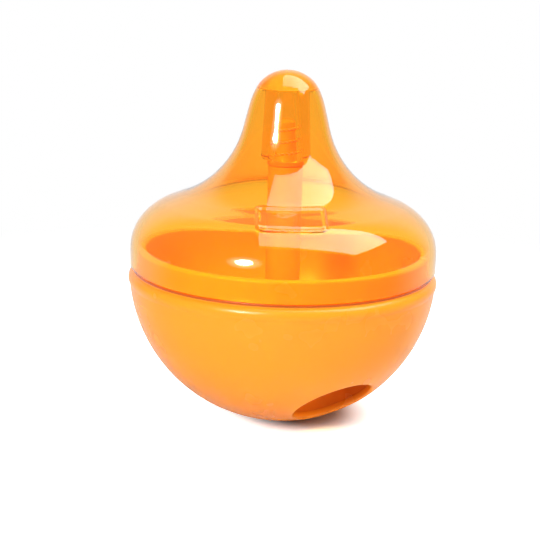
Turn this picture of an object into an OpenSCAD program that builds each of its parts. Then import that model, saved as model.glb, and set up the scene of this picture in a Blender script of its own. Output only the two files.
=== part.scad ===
// Weighted treat ball: an orange bowl with an inner food cup, an outlet low on one side, and a clear
// amber dome that screws onto a post in the middle.
// The outlet faces -Y. Modules are drawn about the centre of the ball and lifted to stand on the foot.

/* [Bowl] */
// Outer diameter of the ball
ball_d = 130; // [122:1:140]
// Wall of the outer bowl
bowl_wall = 3; // [2.4:0.1:3.6]
// Wall of the bowl's straight upper part, inside the bead
rim_wall = 4.1; // [3.6:0.1:4.8]
// Diameter of the flat foot
foot_d = 20; // [16:1:26]
// Section radius of the bead round the rim
bead_r = 3.5; // [2.8:0.1:4]
// How far the bead stands out past the ball
bead_proud = 0.4; // [0.2:0.1:0.8]
// Depth of the bead's crest below the middle of the ball
bead_drop = 3.4; // [3:0.1:4.5]
// Step in from the ball to the narrow ring that the dome sits over
seat_inset = 0.8; // [0.5:0.1:1.2]
// Height of that ring's top above the middle of the ball
seat_rise = 1.2; // [0.6:0.1:2]
// Wall of that ring
seat_wall = 1.7; // [1.4:0.1:2]

/* [Outlet] */
// Bore of the outlet
outlet_d = 33.4; // [28:0.2:36]
// Angle between the outlet's axis and straight down
outlet_tilt = 40; // [38:1:46]
// Radius round the outlet's outer edge
outlet_round = 1.2; // [0.6:0.1:2]
// Wall of the chute
chute_wall = 2.4; // [1.8:0.1:3]
// Height of the chute's lower lip above the cup's floor
chute_sill = 3.6; // [2.5:0.1:6]
// Depth of the chute's seat below the bowl's outlet edge
chute_seat = 3.3; // [2.8:0.1:4]
// Wall of the boss that holds the chute
chute_boss_wall = 2.2; // [1.6:0.1:3]

/* [Food cup] */
// Wall of the food cup
cup_wall = 2.6; // [2:0.1:3]
// Height of the space for the weight, under the cup's floor
weight_room = 14.4; // [12:0.1:16]
// Radius between the cup's wall and its floor
cup_fillet = 8; // [4:0.5:12]
// Height of the collar's top above the dome's seat
collar_h = 8.6; // [6:0.1:12]
// Radius on the collar's top edges
collar_round = 1.1; // [0.5:0.1:1.3]
// Thickness of the flange that rests on the bowl's ledge
flange_t = 3.2; // [2.4:0.1:4]

/* [Dome] */
// Wall of the dome
dome_wall = 2.6; // [2:0.1:3]
// Step in from the ball to the dome's straight skirt
dome_inset = 0.4; // [0.2:0.1:0.8]
// Height of the straight skirt
skirt_h = 7.4; // [5:0.1:10]
// Radius of the lower shoulder
shoulder_r = 19.5; // [16:0.5:23]
// Lean of the wall at the top of the lower shoulder
shoulder_lean = 39; // [30:1:45]
// Radius of the upper shoulder
brow_r = 24.5; // [20:0.5:28]
// Lean of the wall at the top of the upper shoulder
brow_lean = 68.5; // [64:0.5:72]
// Radius of the hollow sweep up to the neck
waist_r = 41; // [36:0.5:43]
// Diameter of the neck at the top of that sweep
neck_d = 36; // [33:0.2:38]
// Lean of the neck's wall
neck_lean = 14.3; // [10:0.1:16]
// Length of the straight neck
neck_len = 9.3; // [6:0.1:12]
// Radius of the crown above the neck
crown_r = 33.6; // [28:0.2:40]
// Lean of the wall at the top of the crown
crown_lean = 28.9; // [26:0.1:32]
// Radius of the corner under the tip
corner_r = 10.8; // [8:0.2:13]
// Lean of the wall where the tip's round begins
corner_lean = 44.5; // [40:0.5:50]
// Radius on the dome's lower edge
dome_edge_r = 0.9; // [0.4:0.1:0.95]

/* [Post and socket] */
// Diameter of the post
post_d = 14.6; // [13:0.1:16]
// Diameter of the tapered stud at its foot, under its thread
stud_d = 9.4; // [8.6:0.1:10]
// Diameter of the stud at its tip
stud_tip_d = 6.8; // [6.2:0.1:7.4]
// Height of the thread's ridge
thread_h = 0.7; // [0.5:0.05:0.9]
// Length of the stud above the friction washer
stud_len = 17.3; // [16:0.1:18.5]
// Chamfer on the stud's tip
stud_edge = 1; // [0.6:0.1:1.4]
// Chamfer on the post's shoulder
post_edge = 0.6; // [0.2:0.1:0.9]
// Diameter of the post's spigot through the cup's floor
spigot_d = 10; // [8:0.1:11]
// Length of the socket's barrel
barrel_len = 29.3; // [28:0.1:31]
// Diameter of the barrel at its open end
barrel_d = 20.8; // [19:0.1:23]
// Rounding of the barrel's open end
barrel_edge = 2; // [1:0.1:2.5]
// Step from the socket's plug head down to the barrel
plug_step = 1.1; // [0.5:0.1:1.4]
// Room above the stud in the blind bore
stud_end_room = 10.7; // [9.5:0.1:12]
// Diameter of the friction washer
washer_d = 15.2; // [14.8:0.1:17]
// Thickness of the friction washer
washer_t = 2.2; // [1.5:0.1:3]
// Chamfer on the friction washer's outer edges
washer_edge = 0.45; // [0.2:0.05:0.7]

/* [Weight and fixings] */
// Diameter of the weight
weight_d = 48; // [40:0.5:50]
// Diameter of the hole through the weight
weight_hole_d = 21; // [20:0.5:24]
// Wall of the rib that keeps the weight in place
weight_rib = 1.5; // [1:0.1:2]
// Height of that rib over the lowest point inside the bowl
weight_rib_h = 10; // [7:0.5:12]
// Diameter of the circle of cup screws
screw_circle_d = 60; // [58:0.5:62]
// Angle of the two front cup screws from the back one
screw_spread = 110; // [100:1:120]
// Diameter of a cup screw's shank under its thread
screw_d = 2.5; // [2:0.1:3]
// Length of a cup screw under its head
screw_len = 9; // [8:0.1:9.5]
// Diameter of a cup screw's head
screw_head_d = 5.8; // [5:0.1:6.5]
// Height of a cup screw's head
screw_head_h = 2; // [1.6:0.1:2.4]
// Chamfer on the heads and points of all screws
screw_edge = 0.6; // [0.3:0.1:0.9]
// Diameter of the bosses for the cup screws
boss_d = 8; // [7:0.1:9]
// Diameter of the post screw's shank under its thread
post_screw_d = 3.3; // [3:0.1:4]
// Length of the post screw under its head
post_screw_len = 14; // [10:0.5:20]
// Diameter of the post screw's head
post_screw_head_d = 7.6; // [7:0.1:8.5]
// Height of the post screw's head
post_screw_head_h = 2.6; // [2:0.1:3]
// Diameter of the steel washer under the cup's floor
post_washer_d = 18; // [16:0.5:19]
// Thickness of that washer
post_washer_t = 1.2; // [0.8:0.1:1.6]

/* [Clearances] */
// Gap between the dome's edge and its seat
dome_gap = 0.4; // [0.3:0.1:1]
// Gap between the collar and the dome
collar_gap = 0.8; // [0.5:0.1:1.2]
// Gap between the cup and the bowl's straight wall
cup_gap = 0.5; // [0.3:0.1:0.8]
// Gap round pieces that are pushed together and bonded
bond_gap = 0.1; // [0.05:0.05:0.2]
// Gap of a running fit
run_gap = 0.1; // [0.05:0.01:0.15]
// Gap round a screw's shank in its pilot hole
pilot_gap = 0.05; // [0.02:0.01:0.1]
// Gap round a screw or a tube where it passes through a wall
pass_gap = 0.4; // [0.2:0.1:0.6]
// Gap round the weight
weight_gap = 0.3; // [0.2:0.1:0.6]

/* [Hidden] */
$fn = 96;
// Largest turn of one straight step along a round outline, and round a small edge
arc_step = 5;
edge_step = 18;
// Overlap of a cutting solid past the face that it cuts
over = 1;

// Levels and radii of the bowl, from the middle of the ball
ball_r = ball_d / 2;
foot_r = foot_d / 2;
foot_z = -sqrt(ball_r * ball_r - foot_r * foot_r);
bowl_in_r = ball_r - bowl_wall;
rim_bore_r = ball_r - rim_wall;
bead_z = -bead_drop;
seat_r = ball_r - seat_inset;
recess_r = seat_r - seat_wall;
ledge_z = seat_rise - flange_t;

// Levels and radii of the food cup
cup_out_r = rim_bore_r - cup_gap;
cup_in_r = cup_out_r - cup_wall;
floor_under = weight_room - bowl_in_r;
floor_z = floor_under + cup_wall;
flange_r = recess_r - bond_gap;

// The outlet, measured along its axis from the middle of the ball
outlet_r = outlet_d / 2;
chute_r = outlet_r + chute_wall;
chute_bore_r = chute_r + bond_gap;
outlet_edge = sqrt(ball_r * ball_r - outlet_r * outlet_r);
chute_end = outlet_edge - chute_seat;
chute_mouth = (-(floor_z + chute_sill) - outlet_r * sin(outlet_tilt)) / cos(outlet_tilt);
chute_boss_r = chute_bore_r + chute_boss_wall;
chute_boss_end = sqrt(pow(cup_out_r + cup_gap, 2) - chute_boss_r * chute_boss_r);

// The dome's outline, as stations from its edge up to its tip
dome_r = ball_r - dome_inset;
dome_z = seat_rise + dome_gap;
skirt_top = [dome_r, dome_z + skirt_h];
shoulder_top = after_arc(skirt_top, shoulder_r, 0, shoulder_lean);
brow_top = after_arc(shoulder_top, brow_r, shoulder_lean, brow_lean);
waist_reach = waist_r * (cos(neck_lean) - cos(brow_lean));
cone_len = (brow_top.x - waist_reach - neck_d / 2) / sin(brow_lean);
cone_top = after_line(brow_top, brow_lean, cone_len);
waist_top = after_arc(cone_top, -waist_r, brow_lean, neck_lean);
neck_top = after_line(waist_top, neck_lean, neck_len);
crown_top = after_arc(neck_top, crown_r, neck_lean, crown_lean);
corner_top = after_arc(crown_top, corner_r, crown_lean, corner_lean);
tip_r = corner_top.x / cos(corner_lean);
collar_out_r = dome_r - dome_wall - collar_gap;
collar_z = seat_rise + collar_h;

// The socket, the stud and the post, downward from the dome's crown
plug_in = dome_wall + bond_gap;
plug_r = crown_top.x - plug_in * cos(crown_lean);
plug_z = crown_top.y - plug_in * sin(crown_lean);
socket_z = plug_z - barrel_len;
stud_top = socket_z + stud_len;
stud_taper = (stud_d - stud_tip_d) / 2 / stud_len;
bore_r = stud_d / 2 + run_gap;
bore_top = stud_top + stud_end_room;
washer_z = socket_z - run_gap - washer_t;
shoulder_z = washer_z - run_gap;
neck_r = stud_d / 2 + thread_h;
washer_hole_r = neck_r + run_gap;

// The fixings under and in the cup's floor
weight_top = floor_under - weight_gap;
weight_seat_r = weight_d / 2 + weight_gap;
weight_rib_top = weight_rib_h - bowl_in_r;
pilot_depth = screw_len - cup_wall + over;
post_washer_z = floor_under - post_washer_t;
post_screw_z = post_washer_z - post_screw_head_h;
post_pilot_top = post_washer_z + post_screw_len + over;

// Outlines: a wall that leans by an angle from upright, towards the axis, faces along normal(lean)
function normal(lean) = [cos(lean), sin(lean)];
function after_line(p, lean, length) = p + length * [-sin(lean), cos(lean)];
// A negative radius turns the wall back out
function after_arc(p, r, lean, next_lean) = p + r * (normal(next_lean) - normal(lean));
// Stations along an arc, each as [radius, level, lean], without the first
function arc(p, r, lean, next_lean) =
    let (steps = ceil(abs(next_lean - lean) / arc_step))
    [for (i = [1:steps])
        let (a = lean + (next_lean - lean) * i / steps)
        concat(after_arc(p, r, lean, a), a)];
// The same outline, moved in by a wall
function inset(path, wall) = [for (s = path) [s[0] - wall * cos(s[2]), s[1] - wall * sin(s[2])]];
function backwards(path) = [for (i = [len(path) - 1:-1:0]) path[i]];
// Radius of the tapered stud at a level
function stud_r(z) = stud_d / 2 - stud_taper * (z - socket_z);
// Points round a small edge, about its centre
function edge_round(centre, r, from, to) =
    let (steps = ceil(abs(to - from) / edge_step))
    [for (i = [0:steps])
        let (a = from + (to - from) * i / steps)
        centre + r * [cos(a), sin(a)]];

// The dome's tip above its crown, and its whole outline from the skirt up
tip_path = concat(
    arc(crown_top, corner_r, crown_lean, corner_lean),
    arc(corner_top, tip_r, corner_lean, 90));
dome_path = concat(
    [concat(skirt_top, 0)],
    arc(skirt_top, shoulder_r, 0, shoulder_lean),
    arc(shoulder_top, brow_r, shoulder_lean, brow_lean),
    [concat(cone_top, brow_lean)],
    arc(cone_top, -waist_r, brow_lean, neck_lean),
    [concat(neck_top, neck_lean)],
    arc(neck_top, crown_r, neck_lean, crown_lean),
    tip_path);

// The food cup's inner outline, from the rim down its round wall and fillet to the floor
cup_turn = asin((-floor_z - cup_fillet) / (cup_in_r - cup_fillet));
cup_corner = [cup_in_r * cos(cup_turn), -cup_in_r * sin(cup_turn)];
cup_path = concat(
    [[cup_in_r, 0, 0]],
    arc([cup_in_r, 0], cup_in_r, 0, -cup_turn),
    arc(cup_corner, cup_fillet, -cup_turn, -90),
    [[0, floor_z, -90]]);

// Lifts a piece from the middle of the ball to stand on the foot
module standing() {
    translate([0, 0, -foot_z]) children();
}

// Turns a piece that is drawn along +Z onto the outlet's axis
module along_outlet() {
    rotate([180 - outlet_tilt, 0, 0]) children();
}

module tube_between(low, high, r) {
    translate([0, 0, low]) cylinder(h = high - low, r = r);
}

// Places a child at each cup screw
module at_screws() {
    for (turn = [0, screw_spread, -screw_spread])
        rotate([0, 0, 90 + turn]) translate([screw_circle_d / 2, 0, 0]) children();
}

// Pan-head screw with its head on the plane z = 0
module pan_screw(d, length, head_d, head_h) {
    rotate_extrude()
        polygon([[0, -length], [d / 2 - screw_edge, -length], [d / 2, screw_edge - length], [d / 2, 0],
                 [head_d / 2, 0], [head_d / 2, head_h - screw_edge], [head_d / 2 - screw_edge, head_h],
                 [0, head_h]]);
}

// Space inside the bowl: round below, straight under the ledge, wider above it
module bowl_space() {
    intersection() {
        sphere(r = bowl_in_r);
        tube_between(-ball_r, ledge_z + over / 2, rim_bore_r);
    }
    tube_between(ledge_z, seat_rise + over, recess_r);
}

// The cutter that rounds the outlet's outer edge
module outlet_edge_round() {
    round_r = outlet_r + outlet_round;
    round_z = sqrt(pow(ball_r - outlet_round, 2) - round_r * round_r);
    face_turn = atan2(round_z, round_r);
    face_r = ball_r * cos(face_turn);
    rotate_extrude()
        polygon(concat([[outlet_r - over, round_z]],
                       edge_round([round_r, round_z], outlet_round, 180, face_turn),
                       [[face_r, ball_r + over], [outlet_r - over, ball_r + over]]));
}

// Outer bowl: a ball cut to a flat foot, with a bead, a seat for the dome, bosses and the outlet
module bowl_shell() {
    color("darkorange") standing() difference() {
        union() {
            difference() {
                union() {
                    intersection() {
                        sphere(r = ball_r);
                        tube_between(foot_z, bead_z, ball_r + over);
                    }
                    rotate_extrude() translate([ball_r + bead_proud - bead_r, bead_z]) circle(r = bead_r);
                    tube_between(bead_z - bead_r / 2, seat_rise, seat_r);
                }
                bowl_space();
            }
            intersection() {
                sphere(r = ball_r - bowl_wall / 2);
                union() {
                    along_outlet() tube_between(chute_boss_end, ball_r, chute_boss_r);
                    at_screws() tube_between(-ball_r, floor_under, boss_d / 2);
                    difference() {
                        tube_between(-ball_r, weight_rib_top, weight_seat_r + weight_rib);
                        tube_between(-ball_r - over, weight_rib_top + over, weight_seat_r);
                    }
                }
            }
        }
        at_screws() tube_between(floor_under - pilot_depth, floor_under + over, screw_d / 2 + pilot_gap);
        along_outlet() {
            tube_between(chute_mouth, ball_r + over, outlet_r);
            tube_between(chute_mouth, chute_end, chute_bore_r);
            outlet_edge_round();
        }
    }
}

// Cast weight: a thick ring with a round underside, cut away where the outlet passes
module base_weight() {
    color("dimgray") standing() difference() {
        intersection() {
            tube_between(-ball_r, weight_top, weight_d / 2);
            sphere(r = bowl_in_r - weight_gap);
        }
        tube_between(-ball_r - over, weight_top + over, weight_hole_d / 2);
        along_outlet() {
            tube_between(0, ball_r, chute_r + 2 * weight_gap);
            tube_between(chute_boss_end - 2 * weight_gap, ball_r, chute_boss_r + 2 * weight_gap);
        }
    }
}

// Inner cup: a round wall, a flat floor, a flange on the bowl's ledge and the collar inside the dome
module food_cup() {
    round_z = collar_z - collar_round;
    under = [for (p = backwards(inset(cup_path, -cup_wall))) if (p.y < ledge_z) p];
    color("orange") standing() difference() {
        rotate_extrude() polygon(concat(
            under,
            [[cup_out_r, ledge_z], [flange_r, ledge_z], [flange_r, seat_rise], [collar_out_r, seat_rise]],
            edge_round([collar_out_r - collar_round, round_z], collar_round, 0, 90),
            edge_round([cup_in_r + collar_round, round_z], collar_round, 90, 180),
            inset(cup_path, 0)));
        tube_between(floor_under - over, floor_z + over, spigot_d / 2 + bond_gap);
        at_screws() tube_between(floor_under - over, floor_z + over, screw_d / 2 + pass_gap);
        along_outlet() tube_between(chute_mouth, ball_r, chute_r + pass_gap);
    }
}

// Straight tube from the bowl's outlet up into the cup, with a round inner lip
module outlet_chute() {
    lip_r = chute_wall / 2;
    color("orange") standing() along_outlet() rotate_extrude()
        polygon(concat(edge_round([outlet_r + lip_r, chute_mouth + lip_r], lip_r, 180, 360),
                       [[chute_r, chute_end - bond_gap], [outlet_r, chute_end - bond_gap]]));
}

// Three screws down through the cup's floor
module cup_screws() {
    color("silver") standing() at_screws() translate([0, 0, floor_z])
        pan_screw(screw_d, screw_len, screw_head_d, screw_head_h);
}

// Post: spigot, column, shoulder, plain neck for the washer, and the stud
module centre_post() {
    color("darkorange") standing() difference() {
        rotate_extrude() polygon([
            [0, floor_under], [spigot_d / 2, floor_under], [spigot_d / 2, floor_z], [post_d / 2, floor_z],
            [post_d / 2, shoulder_z - post_edge], [post_d / 2 - post_edge, shoulder_z], [neck_r, shoulder_z],
            [neck_r, washer_z + washer_t], [stud_r(washer_z + washer_t), washer_z + washer_t],
            [stud_r(stud_top - stud_edge), stud_top - stud_edge], [stud_r(stud_top) - stud_edge, stud_top],
            [0, stud_top]]);
        tube_between(floor_under - over, post_pilot_top, post_screw_d / 2 + pilot_gap);
    }
}

module post_washer() {
    color("silver") standing() difference() {
        tube_between(post_washer_z, floor_under, post_washer_d / 2);
        tube_between(post_washer_z - over, floor_under + over, post_screw_d / 2 + pass_gap);
    }
}

module post_screw() {
    color("silver") standing() translate([0, 0, post_washer_z]) rotate([180, 0, 0])
        pan_screw(post_screw_d, post_screw_len, post_screw_head_d, post_screw_head_h);
}

// Soft ring between the post's shoulder and the socket
module friction_washer() {
    outer = washer_d / 2;
    color("darkorange") standing() translate([0, 0, washer_z]) rotate_extrude() polygon([
        [washer_hole_r, 0], [outer - washer_edge, 0], [outer, washer_edge], [outer, washer_t - washer_edge],
        [outer - washer_edge, washer_t], [washer_hole_r, washer_t]]);
}

// Tapered barrel with a tapered blind bore, under a plug head that fills the peak of the dome
module socket_insert() {
    lead_in = thread_h;
    color("gold", 0.5) standing() difference() {
        rotate_extrude() polygon(concat(
            [[0, socket_z]],
            edge_round([barrel_d / 2 - barrel_edge, socket_z + barrel_edge], barrel_edge, -90, 0),
            [[plug_r - plug_step, plug_z]],
            inset(concat([concat(crown_top, crown_lean)], tip_path), plug_in)));
        translate([0, 0, socket_z - over])
            cylinder(h = bore_top - socket_z + over, r1 = stud_r(socket_z - over) + run_gap,
                     r2 = stud_r(bore_top) + run_gap);
        translate([0, 0, socket_z - run_gap])
            cylinder(h = lead_in + run_gap, r1 = bore_r + lead_in + run_gap, r2 = bore_r);
    }
}

// Bell-shaped dome of even wall, with a round lower edge
module dome_shell() {
    inner_r = dome_r - dome_wall;
    edge_z = dome_z + dome_edge_r;
    color("orange", 0.5) standing() rotate_extrude() polygon(concat(
        edge_round([dome_r - dome_edge_r, edge_z], dome_edge_r, -90, 0),
        inset(dome_path, 0),
        backwards(inset(dome_path, dome_wall)),
        edge_round([inner_r + dome_edge_r, edge_z], dome_edge_r, 180, 270)));
}

bowl_shell();
base_weight();
food_cup();
outlet_chute();
cup_screws();
centre_post();
post_washer();
post_screw();
friction_washer();
socket_insert();
dome_shell();
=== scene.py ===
import math

import bpy
from mathutils import Matrix, Vector


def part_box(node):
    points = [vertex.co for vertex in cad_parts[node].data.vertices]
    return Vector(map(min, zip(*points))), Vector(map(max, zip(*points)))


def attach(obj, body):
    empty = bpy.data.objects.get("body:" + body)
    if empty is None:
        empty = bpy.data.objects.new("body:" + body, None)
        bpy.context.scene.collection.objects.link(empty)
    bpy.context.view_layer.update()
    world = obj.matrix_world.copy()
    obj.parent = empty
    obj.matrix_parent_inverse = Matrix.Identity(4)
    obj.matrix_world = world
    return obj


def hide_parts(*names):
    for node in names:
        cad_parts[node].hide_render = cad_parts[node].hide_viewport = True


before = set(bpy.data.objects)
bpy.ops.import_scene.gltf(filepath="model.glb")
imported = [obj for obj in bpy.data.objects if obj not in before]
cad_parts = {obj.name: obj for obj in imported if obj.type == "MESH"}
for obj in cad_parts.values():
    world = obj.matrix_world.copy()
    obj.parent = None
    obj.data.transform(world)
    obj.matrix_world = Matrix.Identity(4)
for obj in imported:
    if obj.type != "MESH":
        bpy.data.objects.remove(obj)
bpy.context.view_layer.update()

# Bowl: the lower half of the ball, moulded in opaque orange plastic with a flat foot and a round bead at
# its rim. Screw bosses, a rib round the weight and the seat of the chute are moulded on its inside.
MM = 0.001
ball_r = 65 * MM
foot_r = 10 * MM
middle = math.sqrt(ball_r**2 - foot_r**2)
bowl_wall = 3 * MM
bowl_inner_r = ball_r - bowl_wall
bead_r = 3.5 * MM
bead_reach = 0.4 * MM
bead_drop = 3.4 * MM
bead_centre = (ball_r + bead_reach - bead_r, middle - bead_drop)
bead_fillet = 2.5 * MM
seat_r = 63.4 * MM
seat_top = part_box("bowl_shell")[1].z
seat_edge = 0.35 * MM
recess_r = 62.5 * MM
rim_bore_r = 60.9 * MM
ledge_drop = 2 * MM
ledge_z = middle - ledge_drop
rib_inner_r = 24.3 * MM
rib_outer_r = 25.8 * MM
rib_height = 10 * MM
rib_top = middle - bowl_inner_r + rib_height
cup_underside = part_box("post_washer")[1].z
boss_r = 4 * MM
screw_count = 3
screw_circle_r = 30 * MM
screw_spread = 110
pilot_r = 1.3 * MM
pilot_depth = 7.4 * MM
outlet_r = 16.7 * MM
outlet_tilt = 40
outlet_edge = 1.2 * MM
outlet_wall = 3.3 * MM
outlet_flare = 14
outlet_flare_length = 1.5 * MM
chute_seat_r = 19.2 * MM
chute_seat_end = math.sqrt(ball_r**2 - outlet_r**2) - outlet_wall
chute_boss_r = 21.4 * MM
fittings_r = 55 * MM
cut_start = 30 * MM
cut_end = ball_r + MM
orange = (0.93, 0.295, 0.012)
# The colour of painted shade, down the outlet and in the groove under the dome, and the chute's colour.
painted_shade_orange = (0.45, 0.092, 0.007)
flow_marks = 0.01
outlet_turn = Matrix.Rotation(math.radians(180 - outlet_tilt), 4, "X")
outlet_place = Matrix.Translation((0, 0, middle)) @ outlet_turn
outlet_way = outlet_place.to_3x3() @ Vector((0, 0, 1))
sharp_from = math.radians(30)
weld = 0.001 * MM
carried_marks = ("along", "bonded")


def round_points(centre, radius, start, end, step=2.5):
    """Points along an arc of an outline, as (distance from the axis, level), between angles in degrees."""
    count = max(1, math.ceil(abs(end - start) / step))
    turns = [math.radians(start + (end - start) * i / count) for i in range(count + 1)]
    return [(centre[0] + radius * math.cos(a), centre[1] + radius * math.sin(a)) for a in turns]


def ball_points(radius, start_r, end_r):
    """Points on the lower half of a sphere round the ball's middle, between two distances from the axis."""
    angles = [-math.degrees(math.acos(r / radius)) for r in (start_r, end_r)]
    return round_points((0, middle), radius, *angles)


def rod_points(radius, low, high):
    """The outline of a plain rod on the axis, between two levels."""
    return [(0, low), (radius, low), (radius, high), (0, high)]


def put(tree, kind, inputs=None, **settings):
    """Adds a node, with its settings and with a value or a link for each named or numbered input."""
    made = tree.nodes.new(kind)
    for name, value in settings.items():
        setattr(made, name, value)
    for key, value in (inputs or {}).items():
        if isinstance(value, bpy.types.NodeSocket):
            tree.links.new(value, made.inputs[key])
        else:
            made.inputs[key].default_value = value
    return made


def calc(tree, operation, *values):
    """Adds a Math node and returns its result."""
    return put(tree, "ShaderNodeMath", dict(enumerate(values)), operation=operation).outputs[0]


def vector_calc(tree, operation, *vectors):
    """Adds a Vector Math node and returns its vector, or its number where the operation gives one."""
    made = put(tree, "ShaderNodeVectorMath", dict(enumerate(vectors)), operation=operation)
    gives_number = operation in ("DOT_PRODUCT", "LENGTH", "DISTANCE")
    return made.outputs["Value" if gives_number else "Vector"]


def ramp(tree, value, start, end, low=0.0, high=1.0, smooth=False):
    """Maps a value between start and end to one between low and high, and holds it at the ends."""
    ends = {"Value": value, "From Min": start, "From Max": end, "To Min": low, "To Max": high}
    kind = "SMOOTHSTEP" if smooth else "LINEAR"
    return put(tree, "ShaderNodeMapRange", ends, interpolation_type=kind).outputs[0]


def new_tree(name, **inputs):
    """Starts a Geometry Nodes tree with one geometry in and out, and returns it with its inputs."""
    tree = bpy.data.node_groups.new(name, "GeometryNodeTree")
    sockets = tree.interface
    sockets.new_socket("Start", in_out="INPUT", socket_type="NodeSocketGeometry")
    for label, kind in inputs.items():
        sockets.new_socket(label.replace("_", " "), in_out="INPUT", socket_type="NodeSocket" + kind)
    sockets.new_socket("Piece", in_out="OUTPUT", socket_type="NodeSocketGeometry")
    return tree, put(tree, "NodeGroupInput").outputs


def end_tree(tree, geometry, finish):
    """Ends a tree: smooth faces, real geometry and one finish."""
    smooth = put(tree, "GeometryNodeSetShadeSmooth", {0: geometry}).outputs[0]
    real = put(tree, "GeometryNodeRealizeInstances", {0: smooth}).outputs[0]
    dressed = put(tree, "GeometryNodeSetMaterial", {"Geometry": real, "Material": finish}).outputs[0]
    put(tree, "NodeGroupOutput", {0: dressed})


def settle(piece):
    """Keeps what a piece's modifiers make as its plain mesh, with sharp edges where faces meet steeply."""
    graph = bpy.context.evaluated_depsgraph_get()
    made = piece.evaluated_get(graph)
    mesh = bpy.data.meshes.new_from_object(made, preserve_all_data_layers=True, depsgraph=graph)
    piece.modifiers.clear()
    spare = piece.data
    piece.data = mesh
    bpy.data.meshes.remove(spare)
    mesh.shade_smooth()
    mesh.set_sharp_from_angle(angle=sharp_from)


def run_tree(piece, tree, values):
    """Runs a tree on a piece with values for its named inputs, and keeps the result as a plain mesh."""
    modifier = piece.modifiers.new(tree.name, "NODES")
    modifier.node_group = tree
    for item in tree.interface.items_tree:
        if item.in_out == "INPUT" and item.name in values:
            modifier[item.identifier] = values[item.name]
    settle(piece)
    piece.data.materials.clear()
    piece.data.materials.append(values["Finish"])


def turning_tree():
    """Turns an outline, whose points lie in the XZ plane, round the Z axis into a closed skin. The columns
    can be crowded together round one side, and the outline's marks go along."""
    tree, given = new_tree("turned_piece", Columns="Int", Crowding="Float", Crowded_Side="Float",
                           Finish="Material")
    outline = given["Start"]
    count = put(tree, "GeometryNodeAttributeDomainSize", {"Geometry": outline}).outputs["Point Count"]
    edges = calc(tree, "ADD", given["Columns"], 1)
    skin = put(tree, "GeometryNodeMeshGrid", {"Vertices X": edges, "Vertices Y": count}).outputs["Mesh"]
    index = put(tree, "GeometryNodeInputIndex").outputs[0]
    row = calc(tree, "MODULO", index, count)
    column = calc(tree, "FLOOR", calc(tree, "DIVIDE", index, count))
    round_share = calc(tree, "MULTIPLY", calc(tree, "DIVIDE", column, given["Columns"]), math.tau)
    pull = calc(tree, "MULTIPLY", given["Crowding"], calc(tree, "SINE", round_share))
    turn = calc(tree, "ADD", given["Crowded Side"], calc(tree, "SUBTRACT", round_share, pull))

    def in_row(value, kind):
        """What the outline has at the same row's point."""
        found = {"Geometry": outline, "Value": value, "Index": row}
        return put(tree, "GeometryNodeSampleIndex", found, data_type=kind).outputs[0]

    spot = in_row(put(tree, "GeometryNodeInputPosition").outputs[0], "FLOAT_VECTOR")
    parts = put(tree, "ShaderNodeSeparateXYZ", {0: spot}).outputs
    turned_spot = put(tree, "ShaderNodeCombineXYZ", {
        "X": calc(tree, "MULTIPLY", parts["X"], calc(tree, "COSINE", turn)),
        "Y": calc(tree, "MULTIPLY", parts["X"], calc(tree, "SINE", turn)),
        "Z": parts["Z"]}).outputs[0]
    for mark in carried_marks:
        value = put(tree, "GeometryNodeInputNamedAttribute", {"Name": mark}, data_type="FLOAT").outputs[0]
        carried = {"Geometry": skin, "Name": mark, "Value": in_row(value, "FLOAT")}
        skin = put(tree, "GeometryNodeStoreNamedAttribute", carried, data_type="FLOAT",
                   domain="POINT").outputs[0]
    skin = put(tree, "GeometryNodeSetPosition", {"Geometry": skin, "Position": turned_spot}).outputs[0]
    skin = put(tree, "GeometryNodeMergeByDistance", {"Geometry": skin, "Distance": weld}).outputs[0]
    sides = put(tree, "GeometryNodeInputMeshEdgeNeighbors").outputs[0]
    bare = calc(tree, "LESS_THAN", sides, 0.5)
    skin = put(tree, "GeometryNodeDeleteGeometry", {"Geometry": skin, "Selection": bare}, domain="EDGE",
               mode="EDGE_FACE").outputs[0]
    end_tree(tree, skin, given["Finish"])
    return tree


turning = turning_tree()


def turned(name, outline, finish, columns=256, crowding=0.0, crowded_side=0.0, place=None, marks=None):
    """A piece turned from an outline that runs anticlockwise round the solid, with the axis on the left."""
    mesh = bpy.data.meshes.new(name)
    mesh.from_pydata([(r, 0, z) for r, z in outline], [], [])
    for mark, values in (marks or {}).items():
        mesh.attributes.new(mark, "FLOAT", "POINT").data.foreach_set("value", values)
    piece = bpy.data.objects.new(name, mesh)
    bpy.context.scene.collection.objects.link(piece)
    run_tree(piece, turning, {"Columns": columns, "Crowding": crowding, "Crowded Side": crowded_side,
                              "Finish": finish})
    if place:
        piece.data.transform(place)
    return piece


def shape_with(piece, other, operation):
    """Adds another piece to a piece, cuts it away or keeps what they share. The other piece is used up."""
    modifier = piece.modifiers.new("shape", "BOOLEAN")
    modifier.operation = operation
    modifier.object = other
    modifier.solver = "EXACT"
    settle(piece)
    bpy.data.objects.remove(other)


def ring_tree():
    """Sets a piece that is drawn on the axis at each cup screw."""
    tree, given = new_tree("at_cup_screws", Count="Int", Circle="Float", Spread="Float", Finish="Material")
    index = put(tree, "GeometryNodeInputIndex").outputs[0]
    from_back = calc(tree, "MULTIPLY", calc(tree, "SUBTRACT", index, 1), given["Spread"])
    turn = calc(tree, "ADD", math.pi / 2, from_back)
    spot = put(tree, "ShaderNodeCombineXYZ", {
        "X": calc(tree, "MULTIPLY", given["Circle"], calc(tree, "COSINE", turn)),
        "Y": calc(tree, "MULTIPLY", given["Circle"], calc(tree, "SINE", turn))}).outputs[0]
    points = put(tree, "GeometryNodePoints", {"Count": given["Count"], "Position": spot}).outputs[0]
    turns = put(tree, "ShaderNodeCombineXYZ", {"Z": turn}).outputs[0]
    ring = put(tree, "GeometryNodeInstanceOnPoints", {"Points": points, "Instance": given["Start"],
                                                      "Rotation": turns}).outputs[0]
    end_tree(tree, ring, given["Finish"])
    return tree


screw_ring = ring_tree()


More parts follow.
